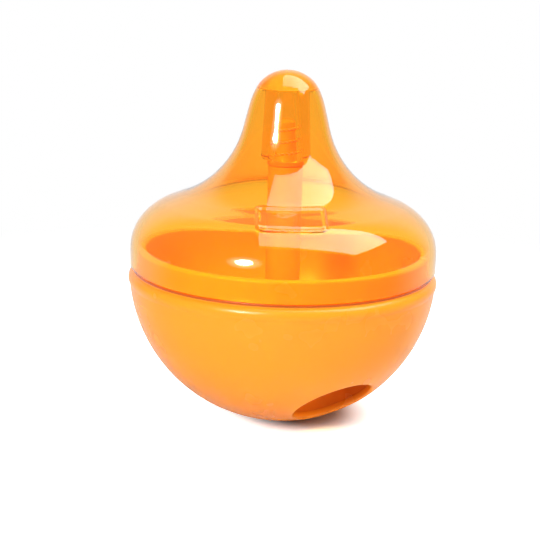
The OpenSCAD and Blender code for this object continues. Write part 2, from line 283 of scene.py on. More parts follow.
def at_cup_screws(piece):
    """Repeats a piece at the three cup screws: one at the back and two in front of it."""
    run_tree(piece, screw_ring, {"Count": screw_count, "Circle": screw_circle_r,
                                 "Spread": math.radians(screw_spread), "Finish": piece.data.materials[0]})
    return piece


def new_finish(name):
    """Starts a material and returns it with its tree and the piece's own coordinates."""
    material = bpy.data.materials.new(name)
    material.use_nodes = True
    tree = material.node_tree
    tree.nodes.clear()
    return material, tree, put(tree, "ShaderNodeTexCoord").outputs["Object"]


def noise(tree, place, scale, low, high, detail=2.0):
    """A soft random value between low and high, with the scale in waves a metre."""
    wave = put(tree, "ShaderNodeTexNoise", {"Vector": place, "Scale": scale, "Detail": detail}).outputs[0]
    usual_low, usual_high = 0.3, 0.7
    return ramp(tree, wave, usual_low, usual_high, low, high)


def mixed(tree, share, first, second):
    """A colour between two colours."""
    pair = {0: share, 6: (*first, 1), 7: (*second, 1)}
    return put(tree, "ShaderNodeMix", pair, data_type="RGBA").outputs[2]


def moulded_plastic(name, colour, shade=None):
    """Opaque moulded plastic: faint flow marks in the colour, an uneven soft gloss, and painted shade, a
    deeper colour, in the places that a shade mask is given for."""
    material, tree, place = new_finish(name)
    pale = tuple(min(1, c * (1 + flow_marks)) for c in colour)
    deep = tuple(c * (1 - flow_marks) for c in colour)
    skin = mixed(tree, noise(tree, place, scale=55, low=0, high=1), deep, pale)
    # Painted shade: the colour is taken towards a deeper orange, and beyond it, where the shade mask says.
    if shade:
        shaded = {0: shade(tree, place), 6: skin, 7: (*painted_shade_orange, 1)}
        skin = put(tree, "ShaderNodeMix", shaded, data_type="RGBA", clamp_factor=False).outputs[2]
    shader = put(tree, "ShaderNodeBsdfPrincipled", {
        "Base Color": skin,
        "Roughness": noise(tree, place, scale=60, low=0.264, high=0.276),
        "IOR": 1.42})
    put(tree, "ShaderNodeOutputMaterial", {"Surface": shader.outputs[0]})
    return material


def meeting_point(first, first_r, second, second_r):
    """The lower of the two points where two circles of an outline meet."""
    gap = Vector(second) - Vector(first)
    reach = (gap.length_squared + first_r**2 - second_r**2) / (2 * gap.length)
    aside = math.sqrt(first_r**2 - reach**2)
    forward = gap.normalized()
    return Vector(first) + reach * forward + aside * Vector((forward.y, -forward.x))


def angle_to(start, end):
    """Angle in degrees of the line from one point of an outline to another."""
    return math.degrees(math.atan2(end[1] - start[1], end[0] - start[0]))


def bowl_painted_shade(tree, place):
    """Painted shade: 1 down the outlet and a little more in the groove under the dome's edge, where little
    light gets.
    """
    level = put(tree, "ShaderNodeSeparateXYZ", {0: place}).outputs["Z"]
    # The groove's painted shade goes past the shade colour, so the groove is painted darker still.
    groove_foot, groove_top, groove_shade = seat_top - 1.2 * MM, seat_top - 0.9 * MM, 1.05
    groove = ramp(tree, level, groove_foot, groove_top, 0, groove_shade)
    spot = vector_calc(tree, "SUBTRACT", place, (0, 0, middle))
    reach = vector_calc(tree, "DOT_PRODUCT", spot, outlet_way)
    off_axis = vector_calc(tree, "LENGTH", vector_calc(tree, "CROSS_PRODUCT", spot, outlet_way))
    bore_clear, bore_full, inward_fade = outlet_r + 0.8 * MM, outlet_r + 0.2 * MM, 3 * MM
    in_bore = ramp(tree, off_axis, bore_clear, bore_full)
    inward = ramp(tree, reach, chute_seat_end + inward_fade, chute_seat_end)
    return calc(tree, "MAXIMUM", groove, calc(tree, "MULTIPLY", in_bore, inward))


# The bowl's colour carries painted shade down the outlet and in the groove under the dome's edge.
bowl_plastic = moulded_plastic("bowl_plastic", orange, bowl_painted_shade)
fillet_centre = meeting_point((0, middle), ball_r + bead_fillet, bead_centre, bead_r + bead_fillet)
ball_end = angle_to((0, middle), fillet_centre)
bead_start = angle_to(bead_centre, fillet_centre)
bead_end = math.degrees(math.acos((seat_r - bead_centre[0]) / bead_r))
foot_turn = -math.degrees(math.acos(foot_r / ball_r))
bowl = turned("bowl", [
    (0, 0), *round_points((0, middle), ball_r, foot_turn, ball_end, step=1.5),
    *round_points(fillet_centre, bead_fillet, 180 + ball_end, 180 + bead_start)[1:],
    *round_points(bead_centre, bead_r, bead_start, bead_end, step=5)[1:],
    *round_points((seat_r - seat_edge, seat_top - seat_edge), seat_edge, 0, 90, step=15),
    *round_points((recess_r + seat_edge, seat_top - seat_edge), seat_edge, 90, 180, step=15),
    (recess_r, ledge_z), (rim_bore_r, ledge_z), *ball_points(bowl_inner_r, rim_bore_r, rib_outer_r),
    (rib_outer_r, rib_top), (rib_inner_r, rib_top), *ball_points(bowl_inner_r, rib_inner_r, 0)],
    bowl_plastic)
wall_middle = turned("wall_middle", [
    (0, middle - ball_r + bowl_wall / 2), *ball_points(ball_r - bowl_wall / 2, MM, fittings_r),
    (0, middle)], bowl_plastic)
pilot_end = cup_underside - pilot_depth
fittings = at_cup_screws(turned("bosses", [
    (0, 0), (boss_r, 0), (boss_r, cup_underside), (pilot_r, cup_underside), (pilot_r, pilot_end),
    (0, pilot_end)], bowl_plastic, columns=48))
chute_boss_end = math.sqrt(rim_bore_r**2 - chute_boss_r**2)
chute_boss = turned("chute_boss", rod_points(chute_boss_r, chute_boss_end, ball_r), bowl_plastic,
                    columns=128, place=outlet_place)
shape_with(fittings, chute_boss, "UNION")
shape_with(fittings, wall_middle, "INTERSECT")
shape_with(bowl, fittings, "UNION")
edge_centre_r = outlet_r + outlet_edge
edge_centre = (edge_centre_r, math.sqrt((ball_r - outlet_edge) ** 2 - edge_centre_r**2))
edge_end = angle_to((0, 0), edge_centre) + outlet_flare
edge_points = round_points(edge_centre, outlet_edge, 180, edge_end, step=9)
edge_way = Vector((math.sin(math.radians(edge_end)), -math.cos(math.radians(edge_end))))
flare_end = Vector(edge_points[-1]) + outlet_flare_length * edge_way
outlet_cut = turned("outlet_cut", [
    (0, cut_start), (chute_seat_r, cut_start), (chute_seat_r, chute_seat_end), (outlet_r, chute_seat_end),
    *edge_points, tuple(flare_end), (flare_end.x, cut_end), (0, cut_end)], bowl_plastic, columns=192,
    place=outlet_place)
shape_with(bowl, outlet_cut, "DIFFERENCE")
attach(bowl, "base")
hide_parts("bowl_shell")

# Weight: a thick ring of raw cast iron that lies in the bottom of the bowl and rights the ball. It is cast
# in sand, so its skin is dark, rough and faintly rusty.
iron_dark = (0.042, 0.042, 0.045)
iron_rust = (0.085, 0.06, 0.045)


def grain(tree, place, scale, height):
    """A fine uneven surface of a given height."""
    wave = put(tree, "ShaderNodeTexNoise", {"Vector": place, "Scale": scale, "Detail": 3.0}).outputs[0]
    return put(tree, "ShaderNodeBump", {"Height": wave, "Strength": 1.0, "Distance": height}).outputs[0]


def cast_iron(name):
    """Raw cast iron: a dark metal with patches of rust and a coarse skin."""
    material, tree, place = new_finish(name)
    rust = noise(tree, place, scale=160, low=-0.6, high=1, detail=6.0)
    shader = put(tree, "ShaderNodeBsdfPrincipled", {
        "Base Color": mixed(tree, rust, iron_dark, iron_rust),
        "Metallic": 0.7,
        "Roughness": noise(tree, place, scale=420, low=0.55, high=0.8),
        "Normal": grain(tree, place, scale=700, height=0.25 * MM)})
    put(tree, "ShaderNodeOutputMaterial", {"Surface": shader.outputs[0]})
    return material


def dress(node, finish):
    """Gives its finish to a CAD piece that is shown as it is."""
    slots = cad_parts[node].data.materials
    slots.clear()
    slots.append(finish)


dress("base_weight", cast_iron("weight_iron"))

# Outlet chute: a short straight tube of orange plastic, bonded into the bowl's outlet. Its round inner lip
# stands a little above the cup's floor, so that the cup empties only when the ball tips.
chute_r = 19.1 * MM
chute_gap = 0.1 * MM
chute_sill = 3.6 * MM
chute_lip = (chute_r - outlet_r) / 2
cup_screw_head = 2 * MM
cup_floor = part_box("cup_screws")[1].z - cup_screw_head
sill_reach = middle - cup_floor - chute_sill - outlet_r * math.sin(math.radians(outlet_tilt))
chute_mouth = sill_reach / math.cos(math.radians(outlet_tilt))
chute_end = chute_seat_end - chute_gap
lip_points = round_points((outlet_r + chute_lip, chute_mouth + chute_lip), chute_lip, 180, 360, step=10)
# The chute's deep orange is painted shade, for the dark way down the outlet.
chute_plastic = moulded_plastic("chute_plastic", painted_shade_orange)
chute = turned("chute", [*lip_points, (chute_r, chute_end), (outlet_r, chute_end), lip_points[0]],
               chute_plastic, columns=192, place=outlet_place)
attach(chute, "base")
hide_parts("outlet_chute")

# Inner cup: a thin round cup of orange plastic with a flat floor. Its flange rests on the bowl's ledge, and
# its rim stands up inside the dome as a collar. It is holed for the chute, the post and three screws.
cup_orange = (0.9, 0.31, 0.016)
cup_inner_r = 57.8 * MM
cup_wall = 2.6 * MM
cup_outer_r = cup_inner_r + cup_wall
cup_fillet = 8 * MM
flange_gap = 0.1 * MM
flange_r = recess_r - flange_gap
collar_r = 61.2 * MM
collar_edge = 1.1 * MM
collar_edge_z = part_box("food_cup")[1].z - collar_edge
spigot_hole_r = 5.1 * MM
screw_hole_r = 1.65 * MM
chute_hole_r = 19.5 * MM
fillet_level = cup_floor + cup_fillet
fillet_turn = -math.degrees(math.asin((middle - fillet_level) / (cup_inner_r - cup_fillet)))
fillet_spot = ((cup_inner_r - cup_fillet) * math.cos(math.radians(fillet_turn)), fillet_level)
flange_turn = math.degrees(math.asin((ledge_z - middle) / cup_outer_r))
cup_plastic = moulded_plastic("cup_plastic", cup_orange)
cup = turned("cup", [
    (0, cup_underside),
    *round_points(fillet_spot, cup_fillet + cup_wall, -90, fillet_turn),
    *round_points((0, middle), cup_outer_r, fillet_turn, flange_turn)[1:],
    (flange_r, ledge_z), (flange_r, seat_top), (collar_r, seat_top),
    *round_points((collar_r - collar_edge, collar_edge_z), collar_edge, 0, 90, step=9),
    *round_points((cup_inner_r + collar_edge, collar_edge_z), collar_edge, 90, 180, step=9),
    *round_points((0, middle), cup_inner_r, 0, fillet_turn),
    *round_points(fillet_spot, cup_fillet, fillet_turn, -90)[1:],
    (0, cup_floor)], cup_plastic)
through = (cup_underside - MM, cup_floor + MM)
spigot_hole = turned("spigot_hole", rod_points(spigot_hole_r, *through), cup_plastic, columns=64)
screw_holes = turned("screw_holes", rod_points(screw_hole_r, *through), cup_plastic, columns=32)
chute_hole = turned("chute_hole", rod_points(chute_hole_r, cut_start, ball_r), cup_plastic, columns=128,
                    place=outlet_place)
for hole in (spigot_hole, at_cup_screws(screw_holes), chute_hole):
    shape_with(cup, hole, "DIFFERENCE")
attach(cup, "base")
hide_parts("food_cup")

# Screws: zinc-plated pan heads with a cross recess. Three hold the cup down on the bowl's bosses, and a
# larger one, over a plain steel washer, holds the post to the cup's floor from below.
zinc_blue = (0.5, 0.52, 0.56)
zinc_yellow = (0.62, 0.59, 0.5)
screw_edge = 0.6 * MM
recess_taper = 0.7


def zinc_plate(name):
    """Zinc-plated steel: a grey metal with a faint yellow and blue cast and a fine uneven gloss."""
    material, tree, place = new_finish(name)
    shader = put(tree, "ShaderNodeBsdfPrincipled", {
        "Base Color": mixed(tree, noise(tree, place, scale=500, low=0, high=1), zinc_blue, zinc_yellow),
        "Metallic": 1.0,
        "Roughness": noise(tree, place, scale=1400, low=0.24, high=0.42),
        "Normal": grain(tree, place, scale=4000, height=0.01 * MM)})
    put(tree, "ShaderNodeOutputMaterial", {"Surface": shader.outputs[0]})
    return material


def cross_recess(head_r, head_h, finish):
    """The shape that a cross-tipped driver leaves in a pan head: a cross that narrows downwards."""
    blade = 0.13 * head_r
    span = 0.55 * head_r
    depth = 0.6 * head_h
    corners = [(span, -blade), (span, blade), (blade, blade), (blade, span), (-blade, span),
               (-blade, blade), (-span, blade), (-span, -blade), (-blade, -blade), (-blade, -span),
               (blade, -span), (blade, -blade)]
    sides = len(corners)
    low_points = [(recess_taper * x, recess_taper * y, head_h - depth) for x, y in corners]
    high_points = [(x, y, head_h + depth) for x, y in corners]
    walls = [(i, (i + 1) % sides, sides + (i + 1) % sides, sides + i) for i in range(sides)]
    ends = [tuple(reversed(range(sides))), tuple(range(sides, 2 * sides))]
    mesh = bpy.data.meshes.new("cross_recess")
    mesh.from_pydata(low_points + high_points, [], walls + ends)
    mesh.materials.append(finish)
    recess = bpy.data.objects.new("cross_recess", mesh)
    bpy.context.scene.collection.objects.link(recess)
    return recess


def pan_screw(name, finish, shank_r, length, head_r, head_h):
    """A pan-head screw that points down, with its head on the plane z = 0 and a cross recess in the head."""
    crown = 0.45 * head_h
    screw = turned(name, [
        (0, -length), (shank_r - screw_edge, screw_edge / 2 - length), (shank_r, 2 * screw_edge - length),
        (shank_r, 0), (head_r, 0), *round_points((head_r - crown, head_h - crown), crown, 0, 80, step=10),
        (0, head_h)], finish, columns=48)
    shape_with(screw, cross_recess(head_r, head_h, finish), "DIFFERENCE")
    return screw


screw_steel = zinc_plate("screw_steel")
cup_screws = pan_screw("cup_screw_set", screw_steel, shank_r=1.25 * MM, length=9 * MM, head_r=2.9 * MM,
                       head_h=cup_screw_head)
cup_screws.data.transform(Matrix.Translation((0, 0, cup_floor)))
at_cup_screws(cup_screws)
post_screw = pan_screw("post_fixing_screw", screw_steel, shank_r=1.65 * MM, length=14 * MM,
                       head_r=3.8 * MM, head_h=2.6 * MM)
post_washer_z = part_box("post_washer")[0].z
upside_down = Matrix.Rotation(math.pi, 4, "X")
post_screw.data.transform(Matrix.Translation((0, 0, post_washer_z)) @ upside_down)
for screws, node in ((cup_screws, "cup_screws"), (post_screw, "post_screw")):
    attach(screws, "base")
    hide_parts(node)
dress("post_washer", screw_steel)

# Post: an orange plastic column that stands on the cup's floor, with a plain neck for the soft washer and a
# tapered stud on top. The stud has a right-hand thread of round ridges that the dome screws onto.
post_r = 7.3 * MM
spigot_r = 5 * MM
post_edge = 0.6 * MM
post_pilot_r = 1.7 * MM
post_pilot_depth = 15 * MM
post_pilot_top = post_washer_z + post_pilot_depth
socket_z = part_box("socket_insert")[0].z
washer_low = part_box("friction_washer")[0].z
washer_gap = 0.1 * MM
shoulder_z = washer_low - washer_gap
stud_foot_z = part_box("friction_washer")[1].z
stud_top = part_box("centre_post")[1].z
stud_foot_r = 4.7 * MM
stud_tip_r = 3.4 * MM
stud_taper = (stud_foot_r - stud_tip_r) / (stud_top - socket_z)
stud_edge = 1 * MM
chamfer_z = stud_top - stud_edge
thread_pitch = 5 * MM
thread_h = 0.7 * MM
thread_start = socket_z + 1.2 * MM
thread_end = stud_top - 1.6 * MM
ridge_h = 0.24 * MM
ridge_r = 0.65 * MM
neck_r = stud_foot_r + thread_h


def stud_r(level):
    """Radius of the tapered stud at a level."""
    return stud_foot_r - stud_taper * (level - socket_z)


def thread_tree():
    """A round ridge wound up a cone, which thins out at both ends."""
    tree, given = new_tree("wound_ridge", Turns="Float", Foot_Radius="Float", Tip_Radius="Float",
                           Height="Float", Level="Float", Ridge="Float", Finish="Material")
    wound = put(tree, "GeometryNodeCurveSpiral", {
        "Resolution": 64, "Rotations": given["Turns"], "Start Radius": given["Foot Radius"],
        "End Radius": given["Tip Radius"], "Height": given["Height"], "Reverse": True}).outputs[0]
    lift = put(tree, "ShaderNodeCombineXYZ", {"Z": given["Level"]}).outputs[0]
    wound = put(tree, "GeometryNodeSetPosition", {"Geometry": wound, "Offset": lift}).outputs[0]
    wound = put(tree, "GeometryNodeSetCurveNormal", {"Curve": wound}, mode="Z_UP").outputs[0]
    along = put(tree, "GeometryNodeSplineParameter").outputs["Factor"]
    to_end = calc(tree, "MINIMUM", along, calc(tree, "SUBTRACT", 1, along))
    thin_stretch, thin_end = 0.06, 0.45
    thinning = ramp(tree, to_end, 0, thin_stretch, thin_end, 1, smooth=True)
    wound = put(tree, "GeometryNodeSetCurveRadius", {"Curve": wound, "Radius": thinning}).outputs[0]
    section = put(tree, "GeometryNodeCurvePrimitiveCircle", {"Resolution": 16,
                                                             "Radius": given["Ridge"]}).outputs[0]
    ridge = put(tree, "GeometryNodeCurveToMesh", {"Curve": wound, "Profile Curve": section,
                                                  "Fill Caps": True}).outputs[0]
    end_tree(tree, ridge, given["Finish"])
    return tree


winding = thread_tree()


def wound_ridge(name, low, high, section_r, finish):
    """The thread's ridge between two levels of the stud, in step with any other stretch of the thread."""
    sunk = ridge_r - ridge_h
    ridge = bpy.data.objects.new(name, bpy.data.meshes.new(name))
    bpy.context.scene.collection.objects.link(ridge)
    run_tree(ridge, winding, {
        "Turns": (high - low) / thread_pitch, "Foot Radius": stud_r(low) - sunk,
        "Tip Radius": stud_r(high) - sunk, "Height": high - low, "Level": low, "Ridge": section_r,
        "Finish": finish})
    phase = math.tau * (low - socket_z) / thread_pitch
    ridge.data.transform(Matrix.Rotation(phase, 4, "Z"))
    return ridge


post_plastic = moulded_plastic("post_plastic", orange)
post = turned("post", [
    (0, post_pilot_top), (post_pilot_r, post_pilot_top), (post_pilot_r, cup_underside),
    (spigot_r, cup_underside), (spigot_r, cup_floor), (post_r, cup_floor),
    *round_points((post_r - post_edge, shoulder_z - post_edge), post_edge, 0, 90, step=15),
    (neck_r, shoulder_z), (neck_r, stud_foot_z), (stud_r(stud_foot_z), stud_foot_z),
    (stud_r(chamfer_z), chamfer_z), (stud_r(stud_top) - stud_edge, stud_top), (0, stud_top)],
    post_plastic, columns=128)
shape_with(post, wound_ridge("thread", thread_start, thread_end, ridge_r, post_plastic), "UNION")
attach(post, "base")
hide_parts("centre_post")

# Soft washer: a ring of orange silicone on the post's shoulder. The socket presses on it when the dome is
# screwed down, so that the dome doesn't work loose.
rubber_deep = (0.8, 0.22, 0.025)
rubber_pale = (0.87, 0.26, 0.03)
washer_inner_r = neck_r + washer_gap
washer_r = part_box("friction_washer")[1].x
washer_edge = 0.45 * MM


def silicone(name):
    """Soft silicone: a matt skin with faint clouds in its colour."""
    material, tree, place = new_finish(name)
    shader = put(tree, "ShaderNodeBsdfPrincipled", {
        "Base Color": mixed(tree, noise(tree, place, scale=300, low=0, high=1), rubber_deep, rubber_pale),
        "Roughness": noise(tree, place, scale=900, low=0.5, high=0.66),
        "IOR": 1.42,
        "Normal": grain(tree, place, scale=2500, height=0.01 * MM)})
    put(tree, "ShaderNodeOutputMaterial", {"Surface": shader.outputs[0]})
    return material


soft_washer = turned("soft_washer", [
    (washer_inner_r, washer_low),
    *round_points((washer_r - washer_edge, washer_low + washer_edge), washer_edge, -90, 0, step=15),
    *round_points((washer_r - washer_edge, stud_foot_z - washer_edge), washer_edge, 0, 90, step=15),
    (washer_inner_r, stud_foot_z), (washer_inner_r, washer_low)], silicone("washer_rubber"), columns=128)
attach(soft_washer, "washer")
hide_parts("friction_washer")

# Dome: the upper half of the ball, moulded in clear amber plastic with an even wall. It sweeps in from a low
# skirt to a narrow peak like a bell, and carries a bare raised plate on its front.
amber = (0.997, 0.848, 0.02)
dome_cast = (1, 0.82, 0.7)
dome_dye = 600
cast_level = 92 * MM
cast_fade = 10 * MM
dome_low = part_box("dome_shell")[0].z
dome_r = 64.6 * MM
dome_wall = 2.6 * MM
dome_edge = 0.9 * MM
dome_edge_z = dome_low + dome_edge
skirt_h = 7.4 * MM
neck_d = 36 * MM
neck_len = 9.3 * MM
shoulder_r, shoulder_lean = 19.5 * MM, 39
brow_r, brow_lean = 24.5 * MM, 68.5
waist_r, waist_lean = 41 * MM, 14.3
crown_r, crown_lean = 33.6 * MM, 28.9
corner_r, corner_lean = 10.8 * MM, 44.5
plate_width = 28 * MM
plate_height = 17.5 * MM
plate_corner = 3 * MM
plate_rim = 0.4 * MM
plate_field = 0.2 * MM
plate_rim_width = 1.4 * MM
plate_bevel = 0.8 * MM
plate_side = math.radians(-119.6)
plate_foot_lean, plate_head_lean = 56, 60
plate_crowding = 0.7
outer_row = 1 * MM
inner_row = 1.4 * MM
plate_row = 0.4 * MM
off_plate = -1.0


def facing(lean):
    """The outward direction of a wall that leans in from upright by an angle in degrees."""
    return Vector((math.cos(math.radians(lean)), math.sin(math.radians(lean))))


class Outline:
    """A wall's outline, as stations of a point and a lean, laid down as straight runs and tangent arcs."""

    def __init__(self, start, lean):
        self.stations = [(Vector(start), lean)]
        self.marks = {}

    def straight(self, length, row):
        """A straight run along the wall's lean."""
        start, lean = self.stations[-1]
        along = Vector((-facing(lean).y, facing(lean).x))
        count = math.ceil(length / row)
        self.stations += [(start + along * length * i / count, lean) for i in range(1, count + 1)]

    def arc(self, radius, end_lean, row):
        """An arc to another lean. A negative radius turns the wall back out."""
        start, lean = self.stations[-1]
        count = math.ceil(abs(radius * math.radians(end_lean - lean)) / row)
        leans = [lean + (end_lean - lean) * i / count for i in range(1, count + 1)]
        self.stations += [(start + radius * (facing(a) - facing(lean)), a) for a in leans]

    def mark(self, name):
        """Names the last station."""
        self.marks[name] = len(self.stations) - 1

    def inset(self, wall, start=0):
        """Points of the same outline, moved in by a wall, up to the axis."""
        points = [tuple(point - wall * facing(lean)) for point, lean in self.stations[start:]]
        return [*points[:-1], (0, points[-1][1])]


def bell_outline(row, fine_row):
    """The dome's outer outline from its lower edge up to its tip, with its own rows round the plate."""
    bell = Outline((dome_r, dome_edge_z), 0)
    bell.straight(skirt_h - dome_edge, 2 * row)
    bell.arc(shoulder_r, shoulder_lean, row)
    bell.arc(brow_r, plate_foot_lean, row)
    bell.arc(brow_r, brow_lean, fine_row)
    bell.mark("brow")
    waist_reach = waist_r * (facing(waist_lean) - facing(brow_lean)).x
    cone_reach = bell.stations[-1][0].x - waist_reach - neck_d / 2
    bell.straight(cone_reach / facing(brow_lean).y, fine_row)
    bell.mark("cone")
    bell.arc(-waist_r, plate_head_lean, fine_row)
    bell.arc(-waist_r, waist_lean, row)
    bell.straight(neck_len, 2 * row)
    bell.arc(crown_r, crown_lean, row)
    bell.mark("crown")
    bell.arc(corner_r, corner_lean, row)
    bell.arc(bell.stations[-1][0].x / facing(corner_lean).x, 90, row)
    return bell


def run_lengths(points):
    """Distance of each point along an outline."""
    lengths = [0]
    for start, end in zip(points, points[1:]):
        lengths.append(lengths[-1] + (Vector(end) - Vector(start)).length)
    return lengths


def hypotenuse(tree, first, second):
    """Length of the way that goes by two lengths at right angles."""
    squares = [calc(tree, "MULTIPLY", side, side) for side in (first, second)]
    return calc(tree, "SQRT", calc(tree, "ADD", *squares))


def plate_tree():
    """Raises a rounded plate with a low rim out of a turned skin, round a place along its outline."""
    tree, given = new_tree("raised_plate", Width="Float", Height="Float", Corner="Float", Rim="Float",
                           Field="Float", Rim_Width="Float", Bevel="Float", Along="Float", Side="Float",
                           Finish="Material")
    place = put(tree, "GeometryNodeInputPosition").outputs[0]
    parts = put(tree, "ShaderNodeSeparateXYZ", {0: place}).outputs
    radius = hypotenuse(tree, parts["X"], parts["Y"])
    cosine = calc(tree, "COSINE", given["Side"])
    sine = calc(tree, "SINE", given["Side"])
    ahead = calc(tree, "ADD", calc(tree, "MULTIPLY", parts["X"], cosine),
                 calc(tree, "MULTIPLY", parts["Y"], sine))
    aside = calc(tree, "SUBTRACT", calc(tree, "MULTIPLY", parts["Y"], cosine),
                 calc(tree, "MULTIPLY", parts["X"], sine))
    across = calc(tree, "MULTIPLY", radius, calc(tree, "ARCTAN2", aside, ahead))
    mark = put(tree, "GeometryNodeInputNamedAttribute", {"Name": "along"}, data_type="FLOAT").outputs[0]
    along = calc(tree, "SUBTRACT", mark, given["Along"])
    beyond = []
    for way, size in ((across, given["Width"]), (along, given["Height"])):
        half = calc(tree, "SUBTRACT", calc(tree, "MULTIPLY", size, 0.5), given["Corner"])
        beyond.append(calc(tree, "SUBTRACT", calc(tree, "ABSOLUTE", way), half))
    corner_way = hypotenuse(tree, *[calc(tree, "MAXIMUM", value, 0) for value in beyond])
    inside_way = calc(tree, "MINIMUM", calc(tree, "MAXIMUM", *beyond), 0)
    depth = calc(tree, "SUBTRACT", given["Corner"], calc(tree, "ADD", corner_way, inside_way))
    rise = ramp(tree, depth, 0, given["Bevel"], 0, given["Rim"], smooth=True)
    fall_end = calc(tree, "ADD", given["Rim Width"], given["Bevel"])
    field_drop = calc(tree, "SUBTRACT", given["Rim"], given["Field"])
    fall = ramp(tree, depth, given["Rim Width"], fall_end, 0, field_drop, smooth=True)
    normal = put(tree, "GeometryNodeInputNormal").outputs[0]
    out = put(tree, "ShaderNodeVectorMath", {0: normal, "Scale": calc(tree, "SUBTRACT", rise, fall)},
              operation="SCALE").outputs[0]
    skin = put(tree, "GeometryNodeSetPosition", {"Geometry": given["Start"], "Offset": out}).outputs[0]
    end_tree(tree, skin, given["Finish"])
    return tree


def clear_plastic(name, dye_density, high_cast, glue=None):
    """Clear amber plastic with a polished skin, which has a cast high up. It takes its colour from its depth
    and lets lamps shine in. Where it is bonded to a like piece it has no skin, but may have cloudy glue."""
    material, tree, place = new_finish(name)
    level = put(tree, "ShaderNodeSeparateXYZ", {0: place}).outputs["Z"]
    high = ramp(tree, level, cast_level - cast_fade, cast_level + cast_fade, smooth=True)
    cast = calc(tree, "MULTIPLY", high, noise(tree, place, scale=60, low=0.9, high=1.1))
    polished = put(tree, "ShaderNodeBsdfPrincipled", {
        "Base Color": mixed(tree, cast, (1, 1, 1), high_cast),
        "Roughness": noise(tree, place, scale=120, low=0.008, high=0.035),
        "IOR": 1.5,
        "Transmission Weight": 1.0,
        "Normal": grain(tree, place, scale=90, height=0.012 * MM)}).outputs[0]
    bond = put(tree, "ShaderNodeBsdfTransparent").outputs[0]
    if glue:
        shine_through, cover = 0.4, 0.75
        front = put(tree, "ShaderNodeBsdfDiffuse", {"Color": (*glue, 1)}).outputs[0]
        back = put(tree, "ShaderNodeBsdfTranslucent", {"Color": (*glue, 1)}).outputs[0]
        cloud = put(tree, "ShaderNodeMixShader", {0: shine_through, 1: front, 2: back}).outputs[0]
        bond = put(tree, "ShaderNodeMixShader", {0: cover, 1: bond, 2: cloud}).outputs[0]
    bonded = put(tree, "ShaderNodeAttribute", attribute_name="bonded").outputs["Fac"]
    skin = put(tree, "ShaderNodeMixShader", {0: bonded, 1: polished, 2: bond}).outputs[0]
    from_lamps = put(tree, "ShaderNodeLightPath").outputs["Is Shadow Ray"]
    lit = put(tree, "ShaderNodeBsdfTransparent").outputs[0]
    surface = put(tree, "ShaderNodeMixShader", {0: from_lamps, 1: skin, 2: lit}).outputs[0]
    dye = put(tree, "ShaderNodeVolumeAbsorption", {"Color": (*amber, 1), "Density": dye_density}).outputs[0]
    put(tree, "ShaderNodeOutputMaterial", {"Surface": surface, "Volume": dye})
    return material


outer_bell = bell_outline(outer_row, plate_row)
inner_bell = bell_outline(inner_row, inner_row)
outer_points = outer_bell.inset(0)
inner_points = inner_bell.inset(dome_wall)
outer_edge = round_points((dome_r - dome_edge, dome_edge_z), dome_edge, -90, 0, step=15)[:-1]
inner_edge = round_points((dome_r - dome_wall + dome_edge, dome_edge_z), dome_edge, 180, 270, step=15)[1:]
dome_outline = [*outer_edge, *outer_points, *reversed(inner_points), *inner_edge, outer_edge[0]]
outer_lengths = run_lengths(outer_points)
inside_count = len(inner_points) + len(inner_edge) + 1
along_marks = [*[off_plate] * len(outer_edge), *outer_lengths, *[off_plate] * inside_count]
bond_start = len(outer_edge) + len(outer_points)
bond_end = bond_start + len(inner_points) - inner_bell.marks["crown"]
bond_marks = [1.0 if bond_start <= i < bond_end else 0.0 for i in range(len(dome_outline))]
dome_clear = clear_plastic("dome_clear", dome_dye, dome_cast)
dome = turned("dome", dome_outline, dome_clear, columns=288, crowding=plate_crowding,
              crowded_side=plate_side, marks={"along": along_marks, "bonded": bond_marks})
plate_along = (outer_lengths[outer_bell.marks["brow"]] + outer_lengths[outer_bell.marks["cone"]]) / 2
run_tree(dome, plate_tree(), {
    "Width": plate_width, "Height": plate_height, "Corner": plate_corner, "Rim": plate_rim,
    "Field": plate_field, "Rim Width": plate_rim_width, "Bevel": plate_bevel, "Along": plate_along,
    "Side": plate_side, "Finish": dome_clear})
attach(dome, "dome")
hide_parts("dome_shell")

# Socket: a thick tapered barrel of clear amber plastic with a plug head, which is bonded into the dome's
# peak. Its blind bore has the thread's grooves, so that the dome screws down on the stud.
socket_cast = (1.0, 0.96, 0.95)
socket_dye = 120
plug_glue = (1.0, 0.6, 0.42)
barrel_r = 10.4 * MM
barrel_edge = 2 * MM
plug_step = 1.1 * MM
plug_gap = 0.1 * MM
run_gap = 0.1 * MM
bore_top = stud_top + 10.7 * MM
lead_in = thread_h
lead_in_z = socket_z + lead_in
groove_start = socket_z - 2.5 * MM
groove_end = stud_top - 0.6 * MM
groove_r = ridge_r + 0.12 * MM
plug_points = inner_bell.inset(dome_wall + plug_gap, inner_bell.marks["crown"])
plug_r, plug_z = plug_points[0]
barrel_points = [
    (0, bore_top), (stud_r(bore_top) + run_gap, bore_top), (stud_r(lead_in_z) + run_gap, lead_in_z),
    (stud_foot_r + run_gap + lead_in, socket_z),
    *round_points((barrel_r - barrel_edge, socket_z + barrel_edge), barrel_edge, -90, 0, step=15),
    (plug_r - plug_step, plug_z)]
plug_marks = [*[0.0] * len(barrel_points), *[1.0] * len(plug_points)]
socket_clear = clear_plastic("socket_clear", socket_dye, socket_cast, plug_glue)
socket = turned("socket", [*barrel_points, *plug_points], socket_clear, columns=160,
                marks={"bonded": plug_marks})
shape_with(socket, wound_ridge("grooves", groove_start, groove_end, groove_r, socket_clear), "DIFFERENCE")
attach(socket, "dome")
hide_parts("socket_insert")

